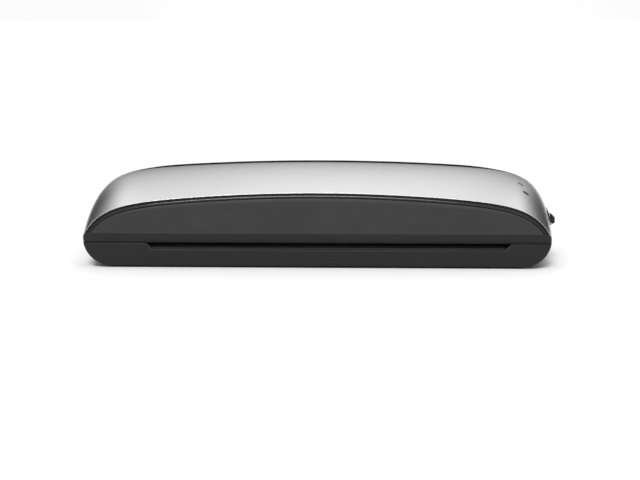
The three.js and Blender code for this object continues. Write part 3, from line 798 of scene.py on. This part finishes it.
# The knob's section, as (x, z); its two outer points carry the ridges.
KNOB_SECTION = [(236.85, 38.4), (239.3, 40.2), (239.1, 45.4), (235.1, 49.1)]
RIDGE = dict(depth=0.22, pitch=2.2, clear_ends=1.3)
knob_rows = []
for y in spread(KNOB_Y - KNOB_LEN / 2, KNOB_Y + KNOB_LEN / 2, 20):
    ridge = RIDGE["depth"] * (0.5 + 0.5 * math.cos((y - KNOB_Y) * 2 * math.pi / RIDGE["pitch"]))
    if abs(y - KNOB_Y) > KNOB_LEN / 2 - RIDGE["clear_ends"]:
        ridge = 0.0
    knob_rows.append([Vector((x - (ridge if i in (1, 2) else 0), y, z))
                      for i, (x, z) in enumerate(KNOB_SECTION)])
knob = sweep("switch_knob", knob_rows, smooth=30)
soften(knob, 0.2, 3, 40)
STEM = dict(x=(217.6, 238.4), y=(KNOB_Y - 2.5, KNOB_Y + 2.5), z=(41.8, 45.2))
stem_outline = [(STEM["y"][i], STEM["z"][j]) for i, j in ((0, 0), (1, 0), (1, 1), (0, 1))]
stem = prism("switch_stem", stem_outline, *STEM["x"], "x")
soften(stem, 0.3, angle=35)
place(knob, "mode_switch", ["mode_knob"], MATS["black_plastic"])
place(stem, "mode_switch", None, MATS["gloss_black"])

# ---- rollers, feet, gland --------------------------------------------------------------------
ROLLER_Y = -22.0
ROLLER_EDGE = 0.4
SHAFT = dict(r=3.0, x=-183, length=380.5)
SLEEVE = dict(bore=3.3, r=8.0, x=-153, length=330)
for name, z in (("lower", 14.4), ("upper", 31.0)):
    body = name + "_roller"
    sleeve_profile = barrel(SLEEVE["bore"], SLEEVE["r"], SLEEVE["length"], ROLLER_EDGE)
    shaft_profile = barrel(ON_AXIS, SHAFT["r"], SHAFT["length"], ROLLER_EDGE)
    sleeve = lathe(name + "_sleeve", sleeve_profile, (SLEEVE["x"], ROLLER_Y, z), "x", 64)
    shaft = lathe(name + "_shaft", shaft_profile, (SHAFT["x"], ROLLER_Y, z), "x")
    place(sleeve, body, [name + "_roller_sleeve"], MATS["silicone"])
    place(shaft, body, [name + "_roller_shaft"], MATS["steel"])

FOOT_PROFILE = [(ON_AXIS, 0.35), (5.2, 0.35), (5.6, 0), (7.4, 0), (8, 0.5), (8, 1.7), (ON_AXIS, 1.7)]
for end, y in (("front", -52), ("rear", 54)):
    for side, x in (("left", -180), ("right", 180)):
        name = f"foot_{end}_{side}"
        foot = lathe(name + "_pad", FOOT_PROFILE, (x, y, 0), "z")
        place(foot, "chassis", [name], MATS["rubber"])

GLAND_PROFILE = [(3, 0), (5, 0), (5, 2), (7, 2), (7, 5), (5, 5),
                 (5, 7.9), (4.6, 8.3), (3.4, 8.3), (3, 7.9)]
gland = lathe("cord_sleeve", GLAND_PROFILE, (GLAND["x"], 64, GLAND["z"]), "y")
place(gland, "chassis", ["cord_gland"], MATS["rubber"])

# ---- carried CAD nodes -----------------------------------------------------------------------
CAD_EDGE = 0.15
NODE_SLOT = {part["node"]: part["material_slot"] for part in frame["record"]["subparts"]}
for node, obj in frame["nodes"].items():
    if node in replaced:
        continue
    # The lower exit guide takes the paler guide look, painted light for the shaded slot floor.
    look = "guide" if node == "lower_exit_guide" else NODE_SLOT[node]
    for slot in obj.material_slots:
        slot.material = MATS[look]
    edge = obj.modifiers.new("edge", "BEVEL")
    edge.width = CAD_EDGE * MM
    edge.segments = 2
    edge.limit_method = "ANGLE"
    edge.angle_limit = math.radians(40)

# ---- floor, light and camera -----------------------------------------------------------------
floor_look = Look("floor_paint", (0.94, 0.94, 0.94), 0.8)
floor_look.vary_roughness(floor_look.noise(6, 3), 0.05)
FLOOR_REACH = 40000.0
FLOOR_DROP = 0.02
floor_rows = [[(r * math.cos(a), r * math.sin(a), -FLOOR_DROP) for a in spread(0, 2 * math.pi, 96)]
              for r in (1.0, 600.0, 3000.0, FLOOR_REACH)]
floor = sweep("floor", floor_rows, closed=False)
floor.data.materials.append(floor_look.mat)

world = bpy.data.worlds.new("studio")
bpy.context.scene.world = world
world.use_nodes = True
tree = world.node_tree
sky = tree.nodes["Background"]
direction = tree.nodes.new("ShaderNodeTexCoord").outputs["Generated"]
split = tree.nodes.new("ShaderNodeSeparateXYZ")
tree.links.new(direction, split.inputs[0])


def world_math(kind, a, b=None):
    node = tree.nodes.new("ShaderNodeMath")
    node.operation = kind
    for socket, value in zip(node.inputs, (a, b)):
        if value is None:
            continue
        if isinstance(value, (int, float)):
            socket.default_value = value
        else:
            tree.links.new(value, socket)
    return node.outputs[0]


def world_range(value, f0, f1, t0, t1, blend="SMOOTHSTEP"):
    node = tree.nodes.new("ShaderNodeMapRange")
    node.interpolation_type = blend
    for key, number in (("From Min", f0), ("From Max", f1), ("To Min", t0), ("To Max", t1)):
        node.inputs[key].default_value = number
    tree.links.new(value, node.inputs["Value"])
    return node.outputs[0]


# Brightness by direction. It rises to the zenith and falls away towards both ends, most of all low
# down. Before that fall comes a slightly darker strip and then, high up, a brighter one. A pale
# panel stands at each side, and the horizon is pale, most of all ahead and behind.
height = split.outputs["Z"]
aside = world_math("ABSOLUTE", split.outputs["X"])
rise = world_range(height, 0.15, 0.92, 0.3, 1.2, "LINEAR")
ends = world_math("MULTIPLY", world_range(aside, 0.31, 0.6, 0.0, 0.86),
                  world_range(height, 0.45, 0.92, 1.0, 0.35))
dip = world_math("MULTIPLY", world_range(aside, 0.08, 0.22, 0.0, 0.17),
                 world_range(aside, 0.27, 0.36, 1.0, 0.0))
glow = world_math("MULTIPLY", world_range(aside, 0.34, 0.42, 0.0, 0.32),
                  world_range(aside, 0.43, 0.52, 1.0, 0.0))
glow = world_math("MULTIPLY", glow, world_range(height, 0.6, 0.82, 0.0, 1.0))
side_panels = world_range(aside, 0.8, 0.92, 0.0, 0.65)
horizon = world_range(height, 0.03, 0.11, 0.22, 0.0)
middle = world_math("MULTIPLY", world_range(height, 0.015, 0.05, 0.5, 0.0),
                    world_range(aside, 0.3, 0.4, 1.0, 0.0))
keep = world_math("SUBTRACT", world_math("SUBTRACT", 1.0, ends), dip)
level = world_math("MULTIPLY", rise, keep)
for lamp in (glow, side_panels, horizon, middle):
    level = world_math("ADD", level, lamp)
tree.links.new(level, sky.inputs["Strength"])
sky.inputs["Color"].default_value = (1, 1, 1, 1)

# A soft key light from the front, high and a little to the left; angles in degrees.
KEY_STRENGTH = 1.9
KEY_SPREAD = 22
KEY_TILT = 40  # from the vertical
KEY_TURN = -7
key = bpy.data.lights.new("key", "SUN")
key.energy = KEY_STRENGTH
key.angle = math.radians(KEY_SPREAD)
key_lamp = bpy.data.objects.new("key", key)
key_lamp.rotation_euler = (math.radians(KEY_TILT), 0, math.radians(KEY_TURN))
bpy.context.collection.objects.link(key_lamp)

CAMERA_AT = Vector((55.53, -1279.01, 249.61)) * MM
AZIMUTH, ELEVATION, ROLL = math.radians(2.421), math.radians(10.35), math.radians(-0.205)
LENS_MM = 70.31
lens_data = bpy.data.cameras.new("camera")
lens_data.sensor_width = 36
lens_data.lens = LENS_MM
lens_data.clip_end = 100
camera = bpy.data.objects.new("camera", lens_data)
bpy.context.collection.objects.link(camera)
back = Vector((math.sin(AZIMUTH) * math.cos(ELEVATION), -math.cos(AZIMUTH) * math.cos(ELEVATION),
               math.sin(ELEVATION)))
turn = (-back).to_track_quat("-Z", "Y").to_matrix() @ Matrix.Rotation(ROLL, 3, "Z")
camera.matrix_world = Matrix.Translation(CAMERA_AT) @ turn.to_4x4()
bpy.context.scene.camera = camera
bpy.context.scene.view_settings.view_transform = "Standard"
